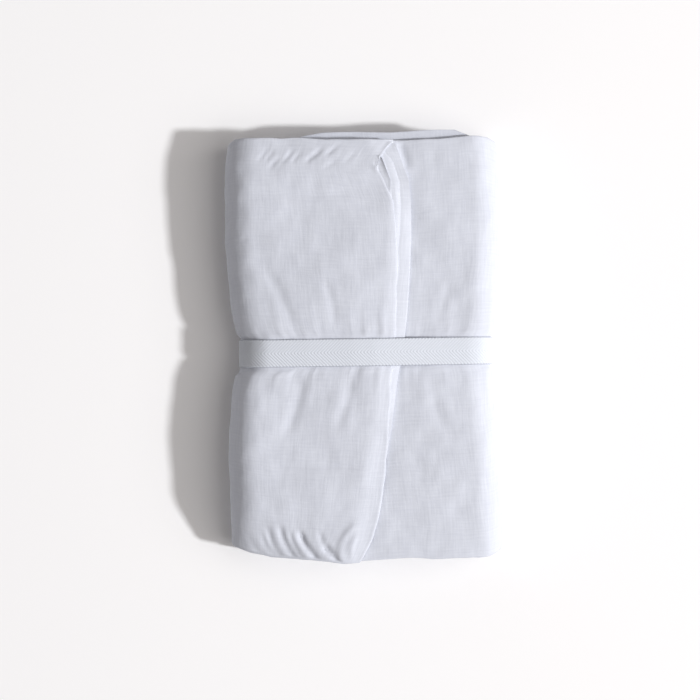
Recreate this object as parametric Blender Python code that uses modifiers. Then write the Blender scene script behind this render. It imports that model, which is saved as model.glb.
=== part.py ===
"""Folded swaddle blanket, held in its fold by a tie tape.

The square muslin cloth is first folded lengthways into a strip of five plies. The strip is then folded
over and over on itself, so that it goes back and forth in eight runs and its end lies on the front as a
flap. Here each run is one course: the five plies together, as one sheet. The bundle lies on its back,
+Z up, +Y towards its head end, with the origin under its middle. All sizes are in metres.
"""

import math

import bpy
from mathutils import Vector
from mathutils.geometry import convex_hull_2d

# The strip of five plies
COURSE = 0.0039  # thickness of one course
PITCH = 0.0044  # from one course to the next
LENGTH = 0.240  # of a course, from fold to fold

# Levels of the eight runs in the stack, in the order in which the strip reaches them from the flap's edge
LEVELS = (7, 0, 6, 1, 5, 2, 4, 3)
LEFT_HUB = 3.5 * PITCH  # height of the middle of the left-hand turns, above the lowest course
RIGHT_HUB = 3.0 * PITCH  # and of the right-hand turns
RUN_STEPS = 7  # facets along a run
TURN_STEPS = 7  # facets round a turn
CROWN = 0.055  # the share by which the stack is higher in its middle

# How the bundle's outline and height change from foot to head, drawn in where the tape goes round it
WAIST = 0.0085  # half the length of the drawn-in stretch
WAIST_AT = -0.0029  # its middle
TILT = 0.0155  # the tape's slant across the bundle
OUTLINE = (
    # y, left side, right side, height share, lift off the surface, flap edge
    {"y": -0.1220, "left": 0.0755, "right": 0.0796, "height": 0.93, "lift": 0.0000, "flap": -0.0030},
    {"y": -0.1060, "left": 0.0758, "right": 0.0794, "height": 0.97, "lift": 0.0000, "flap": 0.0062},
    {"y": -0.0650, "left": 0.0768, "right": 0.0762, "height": 1.00, "lift": 0.0000, "flap": 0.0130},
    {"y": -0.0300, "left": 0.0756, "right": 0.0742, "height": 0.97, "lift": 0.0000, "flap": 0.0175},
    {"y": -0.0150, "left": 0.0735, "right": 0.0728, "height": 0.92, "lift": 0.0003, "flap": 0.0192},
    {"y": WAIST_AT - WAIST, "left": 0.0704, "right": 0.0716, "height": 0.88, "lift": 0.0020, "flap": 0.0200},
    {"y": WAIST_AT + WAIST, "left": 0.0706, "right": 0.0716, "height": 0.88, "lift": 0.0020, "flap": 0.0215},
    {"y": 0.0095, "left": 0.0734, "right": 0.0734, "height": 0.92, "lift": 0.0003, "flap": 0.0225},
    {"y": 0.0280, "left": 0.0770, "right": 0.0754, "height": 0.97, "lift": 0.0000, "flap": 0.0240},
    {"y": 0.0650, "left": 0.0796, "right": 0.0774, "height": 1.00, "lift": 0.0000, "flap": 0.0255},
    {"y": 0.0980, "left": 0.0790, "right": 0.0764, "height": 0.98, "lift": 0.0000, "flap": 0.0252},
    {"y": 0.1220, "left": 0.0768, "right": 0.0745, "height": 0.93, "lift": 0.0000, "flap": 0.0175},
)

# Where the front courses end at the head and at the foot, across the bundle
ENDS = (
    {"x": -0.0800, "head": 0.1080, "foot": 0.1010},
    {"x": -0.0760, "head": 0.1135, "foot": 0.1105},
    {"x": -0.0700, "head": 0.1168, "foot": 0.1145},
    {"x": -0.0550, "head": 0.1172, "foot": 0.1180},
    {"x": -0.0300, "head": 0.1170, "foot": 0.1200},
    {"x": -0.0100, "head": 0.1163, "foot": 0.1218},
    {"x": 0.0150, "head": 0.1158, "foot": 0.1200},
    {"x": 0.0400, "head": 0.1164, "foot": 0.1196},
    {"x": 0.0600, "head": 0.1182, "foot": 0.1186},
    {"x": 0.0700, "head": 0.1170, "foot": 0.1178},
    {"x": 0.0765, "head": 0.1115, "foot": 0.1150},
    {"x": 0.0800, "head": 0.1060, "foot": 0.1085},
)

# How much further, or less far, each level reaches in the middle of the bundle than the front courses
REACH = (
    {"level": 0, "head": 0.0022, "foot": -0.0022},
    {"level": 1, "head": 0.0050, "foot": -0.0008},
    {"level": 2, "head": 0.0026, "foot": -0.0026},
    {"level": 3, "head": 0.0040, "foot": -0.0012},
    {"level": 4, "head": 0.0020, "foot": -0.0024},
    {"level": 5, "head": 0.0052, "foot": -0.0010},
    {"level": 6, "head": 0.0000, "foot": -0.0006},
    {"level": 7, "head": 0.0000, "foot": 0.0000},
)
REACH_MIDDLE = 0.012  # x at which the levels differ most
REACH_SPAN = 0.052  # and how far from there they come together

# Cross lines of the cloth's grid: along the body of a course, and near its ends, back from each end
BODY_LINES = (-0.090, -0.065, -0.045, -0.030, -0.018, WAIST_AT - WAIST - 0.0006, WAIST_AT - WAIST,
              WAIST_AT, WAIST_AT + WAIST, WAIST_AT + WAIST + 0.0006, 0.012, 0.025, 0.045, 0.070, 0.092)
END_LINES = (0.0, 0.0018, 0.0070)
END_TAPER = 0.45  # thickness share at a course's very end
EDGE_TAPER = 0.60  # and at the flap's edge and the strip's inner end

# The tie tape
TAPE_WIDTH = 0.0155
TAPE_THICK = 0.0010
TAPE_GAP = 0.0006
TAPE_FACETS = 120


def smooth(t):
    """0 to 1 with a soft start and end."""
    t = min(max(t, 0.0), 1.0)
    return t * t * (3 - 2 * t)


def read(table, key, at, column):
    """The column's value in a table whose rows go up in key, with soft bends between the rows."""
    rows = sorted(table, key=lambda row: row[key])
    if at <= rows[0][key]:
        return rows[0][column]
    for low, high in zip(rows, rows[1:]):
        if at <= high[key]:
            share = (at - low[key]) / (high[key] - low[key])
            share = 0.5 * (share + smooth(share))
            return low[column] + share * (high[column] - low[column])
    return rows[-1][column]


def fold_path():
    """The strip's section from the flap's edge inwards, as points of the ideal stack.

    Each is (run, share of the way from the left hub to the right one, sideways reach, height, level).
    """
    points = []
    for run, level in enumerate(LEVELS):
        to_right = run % 2 == 1
        last = run == len(LEVELS) - 1
        for step in range(RUN_STEPS + 1):
            share = step / RUN_STEPS
            points.append((run, share if to_right else 1 - share, 0.0, level * PITCH, level))
        if last:
            break
        hub = RIGHT_HUB if to_right else LEFT_HUB
        radius = abs(level * PITCH - hub)
        side = 1 if to_right else -1
        start = 1 if level * PITCH > hub else -1
        facets = max(4, round(TURN_STEPS * math.sqrt(radius / LEFT_HUB)))
        for step in range(1, facets):
            angle = math.pi * step / facets
            height = hub + start * radius * math.cos(angle)
            between = level + (LEVELS[run + 1] - level) * step / facets
            points.append((run, float(to_right), side * radius * math.sin(angle), height, between))
    return points


def reach_of(level, x, end):
    """How far past the front courses this level ends at x."""
    away = min(abs(x - REACH_MIDDLE) / REACH_SPAN, 1.0)
    return read(REACH, "level", level, end) * (1 - smooth(away))


def place(point, y):
    """Where a point of the ideal stack comes to lie, y along the bundle: (x, z, thickness share)."""
    run, share, sideways, height, _ = point
    left = -read(OUTLINE, "y", y, "left") + LEFT_HUB + COURSE / 2
    right = read(OUTLINE, "y", y, "right") - RIGHT_HUB - COURSE / 2
    if run == 0 and sideways == 0.0:
        right = read(OUTLINE, "y", y, "flap")
    x = left + share * (right - left) + sideways
    squeeze = read(OUTLINE, "y", y, "height")
    half = (read(OUTLINE, "y", y, "left") + read(OUTLINE, "y", y, "right")) / 2
    crowned = 1 + CROWN * max(0.0, 1 - (x / half) ** 2)
    z = read(OUTLINE, "y", y, "lift") + COURSE * squeeze / 2 + height * squeeze * crowned
    return x, z, squeeze


def slanted(x, y):
    """y with the tape's slant, which fades away from the waist."""
    return y + TILT * x * math.exp(-(((y - WAIST_AT) / 0.030) ** 2))


def end_at(point, side):
    """The y at which a course ends, side 1 at the head and -1 at the foot."""
    end = "head" if side > 0 else "foot"
    x = place(point, side * LENGTH / 2)[0]
    return side * (read(ENDS, "x", x, end) + reach_of(point[4], x, end))


def along(point, line):
    """The y of one cross line on one point of the section, and the line's own taper."""
    lines = len(END_LINES)
    if line < lines:
        return end_at(point, -1) + END_LINES[line], END_TAPER if line == 0 else 1.0
    if line >= lines + len(BODY_LINES):
        back = lines - 1 - (line - lines - len(BODY_LINES))
        return end_at(point, 1) - END_LINES[back], END_TAPER if back == 0 else 1.0
    return BODY_LINES[line - lines], 1.0


def cloth_material(name, colour, roughness):
    """A plain matt cloth."""
    material = bpy.data.materials.new(name)
    material.use_nodes = True
    surface = material.node_tree.nodes["Principled BSDF"]
    surface.inputs["Base Color"].default_value = (*colour, 1.0)
    surface.inputs["Roughness"].default_value = roughness
    surface.inputs["Metallic"].default_value = 0.0
    material.diffuse_color = (*colour, 1.0)
    return material


def keep_in(collection, obj, name, material):
    """Names a new object, gives it its material and moves it to the object's collection."""
    obj.name = name
    obj.data.name = name
    obj.data.materials.clear()
    obj.data.materials.append(material)
    for other in list(obj.users_collection):
        other.objects.unlink(obj)
    collection.objects.link(obj)
    return obj


def thicken(obj, thickness, group=""):
    """Makes an open surface a sheet of this thickness, centred on it."""
    sheet = obj.modifiers.new("thickness", "SOLIDIFY")
    sheet.thickness = thickness
    sheet.offset = 0.0
    sheet.use_even_offset = True
    sheet.use_quality_normals = True
    sheet.vertex_group = group


def make_blanket(collection):
    """A flat grid, as long as the strip, folded by moving each of its points to its place in the stack."""
    path = fold_path()
    lines = len(BODY_LINES) + 2 * len(END_LINES)
    bpy.ops.mesh.primitive_grid_add(x_subdivisions=len(path) - 1, y_subdivisions=lines - 1, size=1.0)
    material = cloth_material("white_muslin", (0.86, 0.86, 0.89), 0.92)
    blanket = keep_in(collection, bpy.context.active_object, "blanket", material)
    taper = blanket.vertex_groups.new(name="thickness")
    for vertex in blanket.data.vertices:
        column = round((vertex.co.x + 0.5) * (len(path) - 1))
        line = round((vertex.co.y + 0.5) * (lines - 1))
        y, share = along(path[column], line)
        x, z, squeeze = place(path[column], y)
        if column in (0, len(path) - 1):
            share = min(share, EDGE_TAPER)
        vertex.co = Vector((x, slanted(x, y), z))
        taper.add([vertex.index], share * squeeze, "REPLACE")
    blanket.data.update()
    thicken(blanket, COURSE, "thickness")
    blanket.data.shade_smooth()
    return blanket


def tape_loop():
    """The taut loop round the waist's outer courses: the hull of them all, at the tape's mid-thickness."""
    out = COURSE / 2 + TAPE_GAP + TAPE_THICK / 2
    around = []
    for line in (WAIST_AT - WAIST, WAIST_AT, WAIST_AT + WAIST):
        for point in fold_path():
            x, z, squeeze = place(point, line)
            reach = out - COURSE / 2 * (1 - squeeze)
            for turn in range(12):
                angle = math.tau * turn / 12
                around.append(Vector((x + reach * math.cos(angle), z + reach * math.sin(angle))))
    return [around[i] for i in convex_hull_2d(around)]


def evenly(loop, count):
    """Points a set count of equal steps round a closed loop."""
    ends = loop[1:] + loop[:1]
    total = sum((b - a).length for a, b in zip(loop, ends))
    points = []
    walked, legs = 0.0, iter(zip(loop, ends))
    start, stop = next(legs)
    for step in range(count):
        wanted = total * step / count
        while walked + (stop - start).length < wanted:
            walked += (stop - start).length
            start, stop = next(legs)
        points.append(start.lerp(stop, (wanted - walked) / (stop - start).length))
    return points


def make_tape(collection):
    """An open tube of the tape's width, laid round the waist and given the tape's thickness."""
    bpy.ops.mesh.primitive_cylinder_add(
        vertices=TAPE_FACETS, radius=1.0, depth=TAPE_WIDTH, end_fill_type="NOTHING"
    )
    material = cloth_material("white_cotton_tape", (0.88, 0.88, 0.90), 0.85)
    tape = keep_in(collection, bpy.context.active_object, "tie_tape", material)
    loop = evenly(tape_loop(), TAPE_FACETS)
    for vertex in tape.data.vertices:
        turn = math.atan2(vertex.co.y, vertex.co.x) / math.tau
        flat = loop[round(turn * TAPE_FACETS) % TAPE_FACETS]
        y = WAIST_AT + vertex.co.z
        vertex.co = Vector((flat.x, slanted(flat.x, y), flat.y))
    tape.data.update()
    thicken(tape, TAPE_THICK)
    tape.data.shade_smooth()
    return tape


def main():
    for obj in list(bpy.data.objects):
        bpy.data.objects.remove(obj)
    collection = bpy.data.collections.new("swaddle_blanket")
    bpy.context.scene.collection.children.link(collection)
    make_blanket(collection)
    make_tape(collection)


main()
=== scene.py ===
import math

import bpy
import numpy as np
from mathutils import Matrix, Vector, noise
from mathutils.geometry import convex_hull_2d


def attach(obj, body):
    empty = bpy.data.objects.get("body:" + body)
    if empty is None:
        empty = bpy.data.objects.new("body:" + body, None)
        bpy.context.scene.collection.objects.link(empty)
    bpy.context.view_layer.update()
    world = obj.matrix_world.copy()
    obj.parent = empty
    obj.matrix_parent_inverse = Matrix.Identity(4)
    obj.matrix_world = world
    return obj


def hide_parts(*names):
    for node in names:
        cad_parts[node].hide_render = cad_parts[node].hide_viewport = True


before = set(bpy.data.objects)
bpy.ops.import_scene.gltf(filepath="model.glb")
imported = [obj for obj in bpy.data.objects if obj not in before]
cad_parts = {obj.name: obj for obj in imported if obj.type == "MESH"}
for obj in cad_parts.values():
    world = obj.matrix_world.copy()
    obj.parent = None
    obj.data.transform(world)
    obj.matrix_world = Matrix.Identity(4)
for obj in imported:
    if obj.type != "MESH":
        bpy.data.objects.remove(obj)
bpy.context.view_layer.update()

# ---- The blanket: how it is folded ---------------------------------------------------------------
# One square of washed cotton muslin with a narrow hem. It is folded lengthways into a strip of five
# plies, and the strip is then folded over and over into a flat bundle, its hemmed end last, as a flap.
# The bundle lies on its back with its long side along Y, and every size is in metres.

PLY = 0.0008  # from one ply to the next
PITCH = 0.0044  # from one course of the strip to the next
HALF_COURSE = 0.00195
LEVELS = (7, 0, 6, 1, 5, 2, 4, 3)  # the courses' places in the stack, from the flap inwards
LEFT_HUB = 3.5 * PITCH  # height of the middle of the left-hand turns
RIGHT_HUB = 3.0 * PITCH
CROWN = 0.055  # the stack is higher in its middle by this share
FLAP_WIDTH = 0.076  # from the flap's end to its turn
RUN_WIDTH = 0.118  # from turn to turn

WAIST_AT = -0.0029  # where the tape goes round
WAIST = 0.0085
SLANT = 0.0155  # of the tape, across the bundle
OUTLINE = (
    {"y": -0.1220, "left": 0.0755, "right": 0.0796, "height": 0.93, "lift": 0.0000},
    {"y": -0.1060, "left": 0.0758, "right": 0.0794, "height": 0.97, "lift": 0.0000},
    {"y": -0.0650, "left": 0.0768, "right": 0.0762, "height": 1.00, "lift": 0.0000},
    {"y": -0.0300, "left": 0.0756, "right": 0.0742, "height": 0.97, "lift": 0.0000},
    {"y": -0.0150, "left": 0.0735, "right": 0.0728, "height": 0.92, "lift": 0.0003},
    {"y": WAIST_AT - WAIST, "left": 0.0704, "right": 0.0716, "height": 0.88, "lift": 0.0020},
    {"y": WAIST_AT + WAIST, "left": 0.0706, "right": 0.0716, "height": 0.88, "lift": 0.0020},
    {"y": 0.0095, "left": 0.0734, "right": 0.0734, "height": 0.92, "lift": 0.0003},
    {"y": 0.0280, "left": 0.0770, "right": 0.0754, "height": 0.97, "lift": 0.0000},
    {"y": 0.0650, "left": 0.0796, "right": 0.0774, "height": 1.00, "lift": 0.0000},
    {"y": 0.0980, "left": 0.0790, "right": 0.0764, "height": 0.98, "lift": 0.0000},
    {"y": 0.1220, "left": 0.0768, "right": 0.0745, "height": 0.93, "lift": 0.0000},
)

# The flap's hemmed ends. The top ply's end is drawn back from that of the plies under it.
FLAP = (
    {"y": -0.1220, "top": -0.0022, "under": -0.0022},
    {"y": -0.1179, "top": -0.0003, "under": -0.0012},
    {"y": -0.1123, "top": 0.0025, "under": 0.0010},
    {"y": -0.1059, "top": 0.0053, "under": 0.0036},
    {"y": -0.0800, "top": 0.0108, "under": 0.0092},
    {"y": -0.0400, "top": 0.0150, "under": 0.0165},
    {"y": 0.0000, "top": 0.0172, "under": 0.0222},
    {"y": 0.0450, "top": 0.0186, "under": 0.0256},
    {"y": 0.0800, "top": 0.0158, "under": 0.0264},
    {"y": 0.0930, "top": 0.0098, "under": 0.0248},
    {"y": 0.1000, "top": 0.0068, "under": 0.0224},
    {"y": 0.1045, "top": 0.0072, "under": 0.0200},
    {"y": 0.1078, "top": 0.0092, "under": 0.0186},
    {"y": 0.1120, "top": 0.0126, "under": 0.0175},
    {"y": 0.1152, "top": 0.0158, "under": 0.0158},
)
FLAP_LAPS = (0, 0, 0, 0.0055, 0.0090, 0.0110)  # how much shorter the lower plies are, fold by fold
FLAP_SETTLE = 0.014  # the flap thins towards its end over this width
FLAP_THIN = 0.42  # to this share
HEM = 0.0065
HEM_LAP = 0.0003  # the turned-in edge lies this far from its ply
HEM_TURN = 0.0004

# Where the courses end at the head and the foot, across the bundle, and how the stack's levels differ
ENDS = (
    {"x": -0.0800, "head": 0.1080, "foot": 0.1010},
    {"x": -0.0760, "head": 0.1135, "foot": 0.1105},
    {"x": -0.0700, "head": 0.1168, "foot": 0.1145},
    {"x": -0.0550, "head": 0.1172, "foot": 0.1180},
    {"x": -0.0300, "head": 0.1170, "foot": 0.1200},
    {"x": -0.0100, "head": 0.1163, "foot": 0.1218},
    {"x": 0.0150, "head": 0.1158, "foot": 0.1200},
    {"x": 0.0400, "head": 0.1164, "foot": 0.1196},
    {"x": 0.0600, "head": 0.1182, "foot": 0.1186},
    {"x": 0.0700, "head": 0.1170, "foot": 0.1178},
    {"x": 0.0765, "head": 0.1115, "foot": 0.1150},
    {"x": 0.0800, "head": 0.1060, "foot": 0.1085},
)
REACH = (
    {"level": 0, "head": 0.0022, "foot": -0.0022},
    {"level": 1, "head": 0.0050, "foot": -0.0008},
    {"level": 2, "head": 0.0026, "foot": -0.0026},
    {"level": 3, "head": 0.0040, "foot": -0.0012},
    {"level": 4, "head": 0.0020, "foot": -0.0024},
    {"level": 5, "head": 0.0052, "foot": -0.0010},
    {"level": 6, "head": 0.0000, "foot": -0.0006},
    {"level": 7, "head": 0.0000, "foot": 0.0000},
)
PROUD = (
    {"x": -0.0440, "share": 0.00},
    {"x": -0.0340, "share": 0.35},
    {"x": -0.0240, "share": 0.90},
    {"x": 0.0000, "share": 1.00},
    {"x": 0.0350, "share": 1.05},
    {"x": 0.0480, "share": 0.95},
    {"x": 0.0590, "share": 0.00},
)

# The strip's five plies from the cloth's first edge to its last, by height in the course, and how the
# cloth ends or turns before the first ply, between each two and after the last
PLIES = (1, 2, 0, -1, -2)
TURNS = (
    {"bulge": 0.0000, "short": 0.0032},
    {"bulge": 0.0010, "short": 0.0000},
    {"bulge": 0.0015, "short": 0.0000},
    {"bulge": 0.0010, "short": 0.0008},
    {"bulge": 0.0010, "short": 0.0011},
    {"bulge": 0.0000, "short": 0.0016},
)
OUTER = 1  # the ply that shows

FINE = 0.00125  # mesh of the cloth that shows
BACK = 0.0019  # and of the cloth on the back
COARSE = 0.009  # and of the courses inside
FINE_TO = 0.42  # how far under the flap the course beside it stays fine
KEEP = 5  # hidden cloth keeps one of so many fine lines


def curve(table, key, column, place):
    """The column's value between the table's rows, on a soft curve that doesn't overshoot them."""
    x, y = (np.array([row[name] for row in table]) for name in (key, column))
    step = np.diff(x)
    rise = np.diff(y) / step
    slope = np.zeros(len(x))
    turns = rise[1:] * rise[:-1] <= 0
    slope[1:-1] = np.where(turns, 0, 2 * rise[1:] * rise[:-1] / np.where(turns, 1, rise[1:] + rise[:-1]))
    place = np.clip(place, x[0], x[-1])
    i = np.clip(np.searchsorted(x, place) - 1, 0, len(x) - 2)
    t = (place - x[i]) / step[i]
    start = (1 + 2 * t) * (1 - t) ** 2 * y[i] + t * (1 - t) ** 2 * step[i] * slope[i]
    return start + t * t * (3 - 2 * t) * y[i + 1] + t * t * (t - 1) * step[i] * slope[i + 1]


def soft(t):
    """0 to 1 with a soft start and end."""
    t = np.clip(t, 0, 1)
    return t * t * (3 - 2 * t)


def evenly(start, stop, length, size):
    """Places from start towards stop, the last left out, about size apart on a way of this length."""
    count = max(1, round(length / size))
    return [start + (stop - start) * i / count for i in range(count)]


# Lines across the strip, from the turned-in edge of the hem inwards
rows = []


def add_row(run, share, sideways=0.0, height=None, level=None, hem=0.0, shown=True, kept=True):
    """share is the way from the left hub to the right one, or to the flap's end on the first run."""
    level = LEVELS[run] if level is None else level
    height = level * PITCH if height is None else height
    rows.append((run, share, sideways, height, level, hem, shown, kept))


for share in (1 - HEM / FLAP_WIDTH, 1 - HEM / FLAP_WIDTH / 2, 1 - HEM_TURN / FLAP_WIDTH):
    add_row(0, share, hem=1.0)
add_row(0, 1.0, hem=0.5)
for run in range(len(LEVELS)):
    to_right = run % 2
    if run == 0:
        shares = evenly(1 - HEM_TURN / FLAP_WIDTH, 0, FLAP_WIDTH, FINE)
    elif run == 1:
        shares = evenly(0, 1, RUN_WIDTH, BACK)
    elif run == 2:
        shares = evenly(1, FINE_TO, RUN_WIDTH * (1 - FINE_TO), FINE)
    else:
        shares = evenly(1 - to_right, to_right, RUN_WIDTH, COARSE)
    for i, share in enumerate(shares):
        add_row(run, share, shown=run < 3, kept=run > 2 or i % KEEP == 0)
    if run == 2:
        for i, share in enumerate(evenly(FINE_TO, 0, RUN_WIDTH * FINE_TO, COARSE)):
            add_row(run, share, shown=i == 0)
    if run == len(LEVELS) - 1:
        add_row(run, to_right, shown=False)
        break
    hub, side = (RIGHT_HUB, 1) if to_right else (LEFT_HUB, -1)
    radius = LEVELS[run] * PITCH - hub
    for i, turn in enumerate(evenly(0, 1, math.pi * abs(radius), FINE if run < 2 else 0.0035)):
        add_row(
            run, to_right, side * abs(radius) * math.sin(math.pi * turn),
            hub + radius * math.cos(math.pi * turn),
            LEVELS[run] + (LEVELS[run + 1] - LEVELS[run]) * turn,
            shown=run < 2, kept=run > 1 or i % KEEP == 0,
        )
run, share, sideways, height, level, hem, row_shown, row_kept = (np.array(v, float) for v in zip(*rows))
row_shown, row_kept = row_shown > 0, row_kept > 0

# Lines along the strip, through its plies and the folds between them
columns = []
for ply, lie in enumerate(PLIES):
    up = ply % 2 == 0
    hem_side = 1 if up else -1
    if ply == OUTER:
        places = [0.0, 0.0022, 0.0040] + evenly(0.006, 0.994, 0.232, FINE) + [0.994, 0.996, 0.9978, 1.0]
    else:
        places = [0.0, 0.007, 0.02, 0.045] + evenly(0.09, 0.91, 0.19, 0.0125)
        places += [0.91, 0.955, 0.98, 0.993, 1.0]
    for i, place in enumerate(places):
        kept = ply != OUTER or i % KEEP == 0 or i == len(places) - 1
        columns.append((ply, place, 0.0, lie, 0.0, hem_side, kept))
    if ply + 1 < len(PLIES):
        centre, half = (lie + PLIES[ply + 1]) / 2, (lie - PLIES[ply + 1]) / 2
        inward = -1 if (PLIES[ply + 1] > lie) == (hem_side > 0) else 1
        for i in range(1, 5):
            turn = math.pi * i / 5
            columns.append((
                ply, 1.0, math.sin(turn), centre + half * math.cos(turn), inward * math.sin(turn),
                hem_side * math.cos(turn), True,
            ))
ply, place, out, lie, hem_out, hem_side, column_kept = (np.array(v, float) for v in zip(*columns))
ply, column_kept = ply.astype(int), column_kept > 0
column_shown = (ply == OUTER) & (out == 0)


# ---- The blanket: where each point of the cloth lies --------------------------------------------
# The folded cloth fills the bundle's outline, drawn in at the waist, and each fold ends a little
# before or past its neighbours, as soft cloth does.

def wobble(places, seed, size):
    """Soft noise along a line, -1 to 1, its waves about size long."""
    return np.array([noise.noise(Vector((s / size, 7.3 * seed + 0.37, 1.9 * seed))) for s in places])


def section(y, ply_end):
    """The middle of every course at y: x, z and how far the stack is squeezed there."""
    left = -curve(OUTLINE, "y", "left", y) + LEFT_HUB + HALF_COURSE
    right = curve(OUTLINE, "y", "right", y) - RIGHT_HUB - HALF_COURSE
    end = np.where((run == 0)[:, None] & (sideways == 0)[:, None], ply_end, right)
    x = left + share[:, None] * (end - left) + sideways[:, None]
    squeeze = curve(OUTLINE, "y", "height", y)
    half = (curve(OUTLINE, "y", "left", y) + curve(OUTLINE, "y", "right", y)) / 2
    crowned = 1 + CROWN * np.maximum(0, 1 - (x / half) ** 2)
    z = curve(OUTLINE, "y", "lift", y) + squeeze * (HALF_COURSE + height[:, None] * crowned)
    return x, z, squeeze


def flap_end(y):
    """Where each line along the strip has its hemmed end on the flap."""
    top, under = curve(FLAP, "y", "top", y), curve(FLAP, "y", "under", y)
    laps = np.array(FLAP_LAPS)
    lap = laps[ply] + (laps[ply + 1] - laps[ply]) * place
    return np.where((ply == OUTER)[None, :], top, under - lap[None, :])


walked = np.concatenate([[0], np.cumsum(np.hypot(
    np.diff(sideways + share * np.where(run == 0, FLAP_WIDTH, RUN_WIDTH)), np.diff(height)))])
grid = np.zeros((len(rows), len(columns)))
ends = {}
for name, sign in (("head", 1.0), ("foot", -1.0)):
    x = section(grid[:, :1] + sign * 0.118, curve(FLAP, "y", "under", sign * 0.117))[0][:, 0]
    proud = curve(REACH, "level", name, level) * curve(PROUD, "x", "share", x)
    ends[name] = curve(ENDS, "x", name, x) + proud
head_turn = np.where(ply % 2 == 0, ply + 1, ply)
foot_turn = np.where(ply % 2 == 0, ply, ply + 1)
bulges, shorts = (np.array([row[k] for row in TURNS]) for k in ("bulge", "short"))
uneven = np.array([0.0008 * wobble(walked, t, 0.021) + 0.0004 * wobble(walked, t + 9, 0.007)
                   for t in range(len(TURNS))])
head = ends["head"][:, None] - (bulges + shorts)[head_turn] + uneven[head_turn].T
foot = -ends["foot"][:, None] + (bulges + shorts)[foot_turn] + uneven[foot_turn].T
up = np.where(ply % 2 == 0, place, 1 - place)
past = np.where(ply % 2 == 0, 1.0, -1.0) * (out * bulges[ply + 1])
y = foot + (head - foot) * up + past + np.where(ply % 2 == 0, 1.0, -1.0) * HEM_LAP * hem_out * hem[:, None]

x, z, squeeze = section(y, flap_end(y))
dx, dz = np.gradient(x, axis=0), np.gradient(z, axis=0)
long = np.hypot(dx, dz) + 1e-9
lies = (PLY * lie + HEM_LAP * hem_side * hem[:, None]) * np.minimum(squeeze, 1)
x, z = x + dz / long * lies, z - dx / long * lies

# The flap thins and settles on the course under it towards its end
end = np.maximum(curve(FLAP, "y", "top", y), curve(FLAP, "y", "under", y))
base = curve(OUTLINE, "y", "lift", y) + squeeze * (HALF_COURSE + LEVELS[2] * PITCH * (
    1 + CROWN * np.maximum(0, 1 - (x / 0.076) ** 2))) + 2 * PLY + 0.0003
thin = FLAP_THIN + (1 - FLAP_THIN) * soft((end - x) / FLAP_SETTLE)
on_flap = ((run == 0) & (sideways == 0))[:, None]
z = np.where(on_flap, base + (z - base) * thin, z)
y0 = y
y = y + SLANT * x * np.exp(-(((y - WAIST_AT) / 0.030) ** 2))

# ---- The blanket: creases and rumples ------------------------------------------------------------
# Washed muslin crinkles all over. Where the strip was pulled round at the corners it has long drag
# creases, and the tape gathers it into short puckers along both its edges.

TOP = 0.0345  # height of the front, for how deep a crease goes
REST = 0.0001  # of the lowest ply above what it lies on

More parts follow.
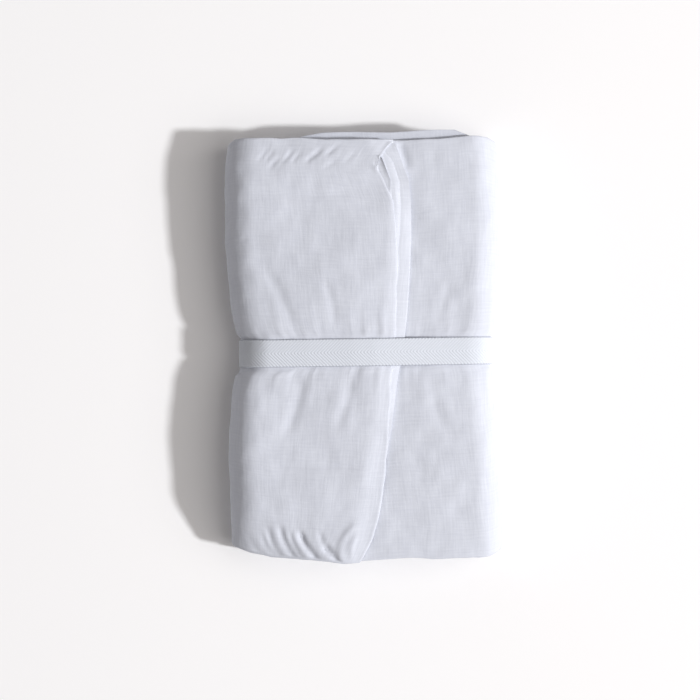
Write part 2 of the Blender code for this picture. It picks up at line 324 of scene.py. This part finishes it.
# Creases in the front: a soft bend from, via and to these places, with the trough's depth and half
# width. A negative depth is a ridge.
CREASE_COLUMNS = ("from", "via", "to", "depth", "width")
CREASES = (
    # drawn round the foot's left corner
    ((-0.0660, -0.1050), (-0.0600, -0.1155), (-0.0500, -0.1215), 0.0009, 0.0013),
    ((-0.0590, -0.1020), (-0.0545, -0.1135), (-0.0440, -0.1215), 0.0012, 0.0015),
    ((-0.0550, -0.0990), (-0.0510, -0.1130), (-0.0410, -0.1225), 0.0014, 0.0015),
    ((-0.0480, -0.0985), (-0.0448, -0.1110), (-0.0350, -0.1225), 0.0018, 0.0017),
    ((-0.0425, -0.1020), (-0.0398, -0.1115), (-0.0320, -0.1215), 0.0009, 0.0013),
    ((-0.0365, -0.1020), (-0.0325, -0.1120), (-0.0215, -0.1235), 0.0024, 0.0018),
    ((-0.0262, -0.1010), (-0.0228, -0.1110), (-0.0190, -0.1170), 0.0008, 0.0014),
    ((-0.0225, -0.1100), (-0.0180, -0.1165), (-0.0105, -0.1240), 0.0019, 0.0016),
    # ridges beside the flap's end at the foot
    ((-0.0010, -0.1000), (-0.0120, -0.1080), (-0.0122, -0.1235), -0.0006, 0.0018),
    ((-0.0030, -0.1060), (-0.0068, -0.1120), (-0.0060, -0.1210), -0.0005, 0.0014),
    # slanting across the head's left part
    ((-0.0600, 0.1035), (-0.0566, 0.1080), (-0.0530, 0.1120), 0.0004, 0.0009),
    ((-0.0560, 0.1038), (-0.0533, 0.1072), (-0.0502, 0.1112), 0.0004, 0.0009),
    ((-0.0535, 0.1000), (-0.0500, 0.1038), (-0.0455, 0.1075), 0.0005, 0.0011),
    ((-0.0480, 0.1020), (-0.0430, 0.1068), (-0.0385, 0.1118), 0.0006, 0.0012),
    ((-0.0412, 0.1030), (-0.0385, 0.1065), (-0.0350, 0.1098), 0.0005, 0.0011),
    ((-0.0345, 0.1035), (-0.0285, 0.1072), (-0.0225, 0.1122), 0.0008, 0.0013),
    ((-0.0230, 0.1070), (-0.0185, 0.1100), (-0.0140, 0.1132), 0.0006, 0.0012),
    ((-0.0250, 0.0985), (-0.0200, 0.1018), (-0.0150, 0.1046), 0.0003, 0.0012),
    ((-0.0130, 0.1020), (-0.0085, 0.1065), (-0.0040, 0.1105), 0.0003, 0.0012),
    # the drawn-back corner's rolled hems, and the bunch where it was caught
    ((0.0162, 0.1165), (0.0112, 0.1100), (0.0074, 0.1040), -0.0009, 0.0010),
    ((0.0162, 0.1160), (0.0182, 0.1070), (0.0236, 0.0960), -0.0009, 0.0009),
    ((0.0086, 0.1062), (0.0096, 0.1040), (0.0112, 0.1014), -0.0007, 0.0008),
    ((0.0060, 0.1050), (0.0072, 0.1028), (0.0080, 0.1000), -0.0008, 0.0008),
    ((0.0030, 0.1016), (0.0048, 0.0998), (0.0064, 0.0976), -0.0006, 0.0008),
    ((0.0046, 0.1038), (0.0053, 0.1028), (0.0058, 0.1016), 0.0012, 0.0009),
    # the course beside the flap falls away from it at the head
    ((0.0205, 0.1165), (0.0212, 0.1080), (0.0262, 0.0980), 0.0009, 0.0022),
    # a short nip in the left side, and one in the right
    ((-0.0745, 0.0600), (-0.0700, 0.0592), (-0.0650, 0.0598), 0.0005, 0.0009),
    ((-0.0790, -0.0228), (-0.0755, -0.0231), (-0.0715, -0.0226), 0.0009, 0.0011),
    ((0.0690, 0.0560), (0.0720, 0.0552), (0.0750, 0.0556), 0.0003, 0.0009),
    # long soft folds that the tape draws across the front
    ((-0.0420, 0.0060), (-0.0460, 0.0240), (-0.0580, 0.0480), 0.0006, 0.0032),
    ((-0.0180, 0.0080), (-0.0190, 0.0260), (-0.0260, 0.0420), 0.0005, 0.0030),
    ((0.0420, 0.0080), (0.0430, 0.0220), (0.0490, 0.0400), 0.0005, 0.0030),
    ((-0.0360, -0.0130), (-0.0380, -0.0320), (-0.0480, -0.0560), 0.0006, 0.0032),
    ((-0.0080, -0.0120), (-0.0100, -0.0300), (-0.0180, -0.0520), 0.0005, 0.0030),
    ((0.0380, -0.0110), (0.0400, -0.0280), (0.0480, -0.0520), 0.0005, 0.0032),
    # the old press lines of the cloth's first folds, almost washed out
    ((-0.0640, 0.0880), (-0.0300, 0.0850), (0.0060, 0.0868), 0.0003, 0.0020),
    ((-0.0620, -0.0640), (-0.0250, -0.0665), (0.0100, -0.0650), 0.0003, 0.0020),
)


def bend(crease, count=14):
    """Points along a crease, on the curve that its via point draws."""
    a, b, c = (np.array(crease[k]) for k in ("from", "via", "to"))
    t = np.linspace(0, 1, count)[:, None]
    return (1 - t) ** 2 * a + 2 * t * (1 - t) * (2 * b - (a + c) / 2) + t * t * c


def furrow(flat, crease):
    """How much a crease lowers each flat place: a trough with a faint shoulder on both sides."""
    line = bend(crease)
    margin = 4 * crease["width"]
    near = ((flat > line.min(0) - margin) & (flat < line.max(0) + margin)).all(1)
    drop = np.zeros(len(flat))
    if not near.any():
        return drop
    starts, legs = line[:-1], np.diff(line, axis=0)
    gone = flat[near][:, None, :] - starts[None]
    t = np.clip((gone * legs).sum(2) / (legs ** 2).sum(1), 0, 1)
    apart = np.linalg.norm(gone - t[..., None] * legs, axis=2)
    leg = apart.argmin(1)
    apart = apart[np.arange(len(leg)), leg]
    along = (leg + t[np.arange(len(leg)), leg]) / len(legs)
    q = (apart / crease["width"]) ** 2
    fade = soft(along / 0.3) * soft((1 - along) / 0.3)
    drop[near] = crease["depth"] * (1 - 0.45 * q) * np.exp(-q / 1.5) * fade
    return drop


noise.seed_set(11)


def drift(places, size, seed):
    """Soft noise in all three directions at each place, its waves about size across."""
    scaled = places / size + 17.3 * seed
    return np.array([noise.noise_vector(Vector(p)) for p in scaled.tolist()])


# Puckers at the tape, on the outer cloth only: each line across the strip lifts by its own amount
beside = np.abs(y0 - WAIST_AT) - WAIST
gather = np.maximum(0, wobble(walked, 21, 0.0052) + 0.10) ** 1.2 * 0.0017
length = 0.0060 + 0.010 * (wobble(walked, 22, 0.013) * 0.5 + 0.5)
pucker = gather[:, None] * soft((beside + 0.0006) / 0.0024) * np.exp(-np.maximum(beside, 0) / length[:, None])
side_swell = 0.0009 * soft((beside + 0.0003) / 0.003) * np.exp(-np.maximum(beside, 0) / 0.007)
outer = (row_shown[:, None] & (ply == OUTER)[None, :]) * 1.0
out_by = (pucker + 0.5 * side_swell) * outer
normal_x, normal_z = dz / long, -dx / long
x, z = x + normal_x * out_by, z + normal_z * out_by
points = np.stack([x, y, z], axis=2).reshape(-1, 3)

# The foot's left corner lies lower than the rest of the front
px, py, pz = points.T
CORNER_DROP = 0.44  # share of its height that the corner loses
corner_drop = CORNER_DROP * soft((-0.088 - py) / 0.042) * soft((0.004 - px) / 0.082)
pz = pz * (1 - corner_drop)
depth = (np.clip(pz, 0, None) / TOP) ** 3
flat = np.stack([px, py], axis=1)
lowered = sum(furrow(flat, dict(zip(CREASE_COLUMNS, row))) for row in CREASES)
pz = pz - lowered * depth
points = np.stack([px, py, pz], axis=1)

# Rumples of every size move all the cloth together, so that no ply passes through another
RUMPLES = (
    {"size": 0.060, "amount": 0.0013, "seed": 1},
    {"size": 0.024, "amount": 0.0008, "seed": 2},
    {"size": 0.010, "amount": 0.0004, "seed": 3},
)
for rumple in RUMPLES:
    move = rumple["amount"] * drift(points, rumple["size"], rumple["seed"])
    move[:, 2] *= soft((points[:, 2] - 0.0004) / 0.008)
    points = points + move
CRINKLE = {"size": 0.0042, "amount": 0.00011, "seed": 4, "stretch": (1.0, 0.55, 1.0)}
crinkle = drift(points * CRINKLE["stretch"], CRINKLE["size"], CRINKLE["seed"])[:, 0]
crinkle = crinkle * CRINKLE["amount"] * outer.reshape(-1)
points[:, 0] += crinkle * normal_x.reshape(-1)
points[:, 2] += crinkle * normal_z.reshape(-1) * soft(points[:, 2] / 0.004)
points[:, 2] += REST - points[:, 2].min()  # it lies on its back

# ---- The blanket: its mesh -----------------------------------------------------------------------
# The cloth is one thin sheet, fine where it shows and coarser inside the bundle.

shape = (len(rows), len(columns))
fine = (row_shown[:-1] & row_shown[1:])[:, None] & (column_shown[:-1] & column_shown[1:])[None, :]
kept_rows, kept_columns = np.flatnonzero(row_kept), np.flatnonzero(column_kept)


def number(i, j):
    return i * shape[1] + j


def is_fine(i, j):
    return 0 <= i < fine.shape[0] and 0 <= j < fine.shape[1] and fine[i, j]


faces = [
    (number(i, j), number(i, j + 1), number(i + 1, j + 1), number(i + 1, j)) for i, j in np.argwhere(fine)
]
for a, b in zip(kept_rows, kept_rows[1:]):
    for c, d in zip(kept_columns, kept_columns[1:]):
        if fine[a, c]:
            continue
        loop = [number(a, j) for j in range(c, d) if j == c or is_fine(a - 1, c)]
        loop += [number(i, d) for i in range(a, b) if i == a or is_fine(a, d)]
        loop += [number(b, j) for j in range(d, c, -1) if j == d or is_fine(b, c)]
        loop += [number(i, c) for i in range(b, a, -1) if i == b or is_fine(a, c - 1)]
        faces.append(tuple(loop))
used = np.unique(np.concatenate([np.array(face) for face in faces]))
renumber = np.zeros(shape[0] * shape[1], int)
renumber[used] = np.arange(len(used))
mesh = bpy.data.meshes.new("muslin_blanket")
mesh.from_pydata(points[used].tolist(), [], [tuple(renumber[list(face)].tolist()) for face in faces])
mesh.shade_smooth()
blanket = bpy.data.objects.new("muslin_blanket", mesh)
bpy.context.scene.collection.objects.link(blanket)

# cloth coordinates in metres, across the strip and along it
strip_u = np.repeat(walked[:, None], shape[1], axis=1)
strip_v = np.concatenate([[0], np.cumsum(np.hypot(np.diff(y0[shape[0] // 8]), np.diff(lie * PLY)))])
strip_v = np.repeat(strip_v[None, :], shape[0], axis=0)
cloth_uv = np.stack([strip_u, strip_v], axis=2).reshape(-1, 2)[used]
corners = np.zeros(len(mesh.loops), int)
mesh.loops.foreach_get("vertex_index", corners)
layer = mesh.uv_layers.new(name="cloth")
layer.uv.foreach_set("vector", cloth_uv[corners].astype(np.float32).ravel())
# and the finish's own map, evenly spaced by line, which gives the fine cloth more room
own_uv = np.stack(np.meshgrid(*(0.01 + 0.98 * np.arange(n) / (n - 1) for n in shape), indexing="ij"), axis=2)
layer = mesh.uv_layers.new(name="OFBake")
layer.uv.foreach_set("vector", own_uv.reshape(-1, 2)[used][corners].astype(np.float32).ravel())

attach(blanket, "root")
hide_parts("blanket")

# ---- The blanket: muslin -------------------------------------------------------------------------


def linear(code):
    """An sRGB hex colour as linear values."""
    parts = (int(code[i:i + 2], 16) / 255 for i in (0, 2, 4))
    return (*(p / 12.92 if p <= 0.04045 else ((p + 0.055) / 1.055) ** 2.4 for p in parts), 1.0)


def add(tree, kind, inputs=(), **settings):
    """Adds a node, gives it its settings, and sets or links its inputs."""
    made = tree.nodes.new("ShaderNode" + kind)
    for name, value in settings.items():
        setattr(made, name, value)
    for name, value in dict(inputs).items():
        if isinstance(value, bpy.types.NodeSocket):
            tree.links.new(value, made.inputs[name])
        else:
            made.inputs[name].default_value = value
    return made


# Plain-woven cotton, bleached and washed before it was folded: quite matt, a cool white, a little fuzzy
muslin = bpy.data.materials.new("washed_cotton_muslin")
muslin.use_nodes = True
tree = muslin.node_tree
surface = tree.nodes["Principled BSDF"]
surface.inputs["Roughness"].default_value = 0.93
surface.inputs["Specular IOR Level"].default_value = 0.2
surface.inputs["Sheen Weight"].default_value = 0.12
surface.inputs["Sheen Roughness"].default_value = 0.6
cloth_at = add(tree, "UVMap", uv_map="cloth").outputs["UV"]


def threads(scale_u, scale_v, detail=1.5):
    """Uneven yarns that run along one of the cloth's directions."""
    placed = add(tree, "VectorMath", {0: cloth_at, 1: (scale_u, scale_v, 0)}, operation="MULTIPLY")
    settings = {"Vector": placed.outputs[0], "Scale": 1.0, "Detail": detail, "Roughness": 0.55}
    return add(tree, "TexNoise", settings).outputs["Fac"]


# Muslin has about two threads to the millimetre, too fine to show, so the yarns are drawn about twice as
# coarse. They are uneven, as slub yarns are, and between them the washed cloth is lightly crushed.
SLUB = 0.0011  # from one thick yarn to the next
SLUB_LENGTH = 0.014
CRUSH = (0.0055, 0.0085)
weft = threads(1 / SLUB_LENGTH, 1 / SLUB)
warp = threads(1 / SLUB, 1 / SLUB_LENGTH)
crush = threads(1 / CRUSH[0], 1 / CRUSH[1], 3)
yarns = add(tree, "Math", {0: weft, 1: warp}, operation="ADD").outputs[0]
height = add(tree, "Math", {0: yarns, 1: 0.085, 2: 0.0}, operation="MULTIPLY_ADD").outputs[0]
height = add(tree, "Math", {0: crush, 1: 0.17, 2: height}, operation="MULTIPLY_ADD").outputs[0]
bump = add(tree, "Bump", {"Height": height, "Distance": 0.001, "Strength": 1.0})
tree.links.new(bump.outputs[0], surface.inputs["Normal"])
tone = add(tree, "MapRange", {"Value": yarns, "From Min": 0.6, "From Max": 1.4, "To Min": 0.0, "To Max": 1.0})
shades = {"Factor": tone.outputs[0], 6: linear("CCCFD9"), 7: linear("D6D9E2")}
colour = add(tree, "Mix", shades, data_type="RGBA")
tree.links.new(colour.outputs[2], surface.inputs["Base Color"])
mesh.materials.append(muslin)

# ---- The tie tape --------------------------------------------------------------------------------
# Cotton twill tape, 15.5 mm wide, woven in one herringbone with its point along the middle. It goes
# once round the bundle, flat and tight.

TAPE_WIDTH = 0.0155
TAPE_THICK = 0.0009
TAPE_CLEAR = 0.0005
RIB = 0.00185  # from one twill rib to the next, along the tape
RIB_HEIGHT = 0.00036

under = outer.astype(bool) & (np.abs(y0 - WAIST_AT) < WAIST)
ring = points.reshape(*shape, 3)[under]
outline = [Vector((p[0], p[2])) for p in ring]
hull = np.array([outline[i] for i in convex_hull_2d(outline)])


def resample(loop, count):
    """count even places round a closed loop."""
    closed = np.vstack([loop, loop[:1]])
    far = np.concatenate([[0], np.cumsum(np.linalg.norm(np.diff(closed, axis=0), axis=1))])
    at = np.linspace(0, far[-1], count, endpoint=False)
    return np.stack([np.interp(at, far, closed[:, k]) for k in (0, 1)], axis=1), far[-1]


TAPE_STEP = 0.00042
loop, girth = resample(hull, 800)
loop, girth = resample(loop, round(girth / TAPE_STEP / 2) * 2)
count = len(loop)
tangent = np.roll(loop, -4, 0) - np.roll(loop, 4, 0)
tangent /= np.linalg.norm(tangent, axis=1)[:, None]
turned = np.cumsum(loop[:, 0] * np.roll(loop[:, 1], -1) - np.roll(loop[:, 0], -1) * loop[:, 1])[-1]
outward = np.stack([tangent[:, 1], -tangent[:, 0]], axis=1) * np.sign(turned)
kernel = np.hanning(15)
kernel /= kernel.sum()


def smoothed(values):
    """A closed loop's values, evened out over about 3 mm."""
    wrapped = [np.concatenate([v[-7:], v, v[:7]]) for v in values.T]
    return np.stack([np.convolve(v, kernel, "valid") for v in wrapped], axis=1)


loop = smoothed(loop + outward * TAPE_CLEAR)
outward = smoothed(outward)
outward /= np.linalg.norm(outward, axis=1)[:, None]
across = np.linspace(-0.5, 0.5, 37)
ribs = round(girth / RIB)
walk = np.arange(count) / count * ribs
layers = []
for c in across:
    phase = walk + abs(c) * TAPE_WIDTH / RIB
    wave = np.abs((phase % 1) * 2 - 1)
    edge = min(1.0, (0.5 - abs(c)) / 0.035)
    rib = RIB_HEIGHT * (soft(wave * 1.5 - 0.1) - 0.6) * edge
    lift = TAPE_THICK * math.sqrt(max(0.0, edge * (2 - edge))) + rib
    layers.append((c * TAPE_WIDTH, lift))
layers = [(-TAPE_WIDTH / 2 + 0.0003, np.zeros(count))] + layers + [(TAPE_WIDTH / 2 - 0.0003, np.zeros(count))]
rings = []
for over, lift in layers:
    flat = loop + outward * np.asarray(lift).reshape(-1, 1)
    ty = WAIST_AT + over
    ty = ty + SLANT * flat[:, 0] * np.exp(-(((ty - WAIST_AT) / 0.030) ** 2))
    rings.append(np.stack([flat[:, 0], ty, flat[:, 1]], axis=1))
verts = np.concatenate(rings)
tape_faces = []
n_ring = len(rings)
for r in range(n_ring):
    for k in range(count):
        a, b = r * count + k, r * count + (k + 1) % count
        c, d = ((r + 1) % n_ring) * count + (k + 1) % count, ((r + 1) % n_ring) * count + k
        tape_faces.append((a, b, c, d))
tape_mesh = bpy.data.meshes.new("tie_tape_cotton")
tape_mesh.from_pydata(verts.tolist(), [], tape_faces)
tape_mesh.shade_smooth()
layer = tape_mesh.uv_layers.new(name="OFBake")
cell = np.array([(k, r) for r in range(n_ring) for k in range(count)])[:, None, :]
cell = (cell + np.array([(0, 0), (1, 0), (1, 1), (0, 1)])) / (count, n_ring)
layer.uv.foreach_set("vector", (0.01 + 0.98 * cell).astype(np.float32).ravel())
tape = bpy.data.objects.new("tie_tape_cotton", tape_mesh)
bpy.context.scene.collection.objects.link(tape)
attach(tape, "root")
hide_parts("tie_tape")
# Bleached cotton twill: a firmer and slightly brighter white than the muslin, its ribs made in the mesh
cotton = bpy.data.materials.new("cotton_twill_tape")
cotton.use_nodes = True
surface = cotton.node_tree.nodes["Principled BSDF"]
surface.inputs["Base Color"].default_value = linear("D6DAE2")
surface.inputs["Roughness"].default_value = 0.85
tape_mesh.materials.append(cotton)

# ---- The floor -----------------------------------------------------------------------------------
# A wide white board, matt and plain.
bpy.ops.mesh.primitive_plane_add(size=8)
floor = bpy.context.active_object
floor.name = "floor"
paper = bpy.data.materials.new("matt_white_board")
paper.use_nodes = True
paper.node_tree.nodes["Principled BSDF"].inputs["Base Color"].default_value = linear("FBFAFA")
paper.node_tree.nodes["Principled BSDF"].inputs["Roughness"].default_value = 0.95
floor.data.materials.append(paper)

# ---- Light and camera ----------------------------------------------------------------------------
# A low key light from the right throws the shadow to the left, a soft box fills from the same side, and
# the room's own light is dim and a little warm. The camera looks straight down.
KEY_FROM = Vector((0.79, -0.146, 0.595))
WINDOW_AT = Vector((0.9, -0.1, 1.15))
LENS = 120
SENSOR = 36
VIEW_SIDE = 0.39106  # the width and height of the view at the bundle's front, in metres
world = bpy.data.worlds.new("room")
bpy.context.scene.world = world
world.use_nodes = True
world.node_tree.nodes["Background"].inputs["Color"].default_value = (1, 0.965, 0.95, 1)
world.node_tree.nodes["Background"].inputs["Strength"].default_value = 0.25
sun = bpy.data.lights.new("key", "SUN")
sun.energy = 2.6
sun.color = (0.97, 0.98, 1.0)
sun.angle = math.radians(4.5)
key = bpy.data.objects.new("key", sun)
bpy.context.scene.collection.objects.link(key)
key.rotation_mode = "QUATERNION"
key.rotation_quaternion = KEY_FROM.to_track_quat("Z", "Y")
soft_box = bpy.data.lights.new("window", "AREA")
soft_box.energy = 9.5
soft_box.size = 1.4
soft_box.color = (1, 0.97, 0.955)
window = bpy.data.objects.new("window", soft_box)
bpy.context.scene.collection.objects.link(window)
window.location = WINDOW_AT
window.rotation_mode = "QUATERNION"
window.rotation_quaternion = WINDOW_AT.to_track_quat("Z", "Y")
window.visible_camera = False

bpy.context.scene.view_settings.view_transform = "Standard"
lens = bpy.data.cameras.new("camera")
lens.lens = LENS
camera = bpy.data.objects.new("camera", lens)
bpy.context.scene.collection.objects.link(camera)
camera.location = (-0.0081, -0.0017, 0.036 + VIEW_SIDE * LENS / SENSOR)
bpy.context.scene.camera = camera
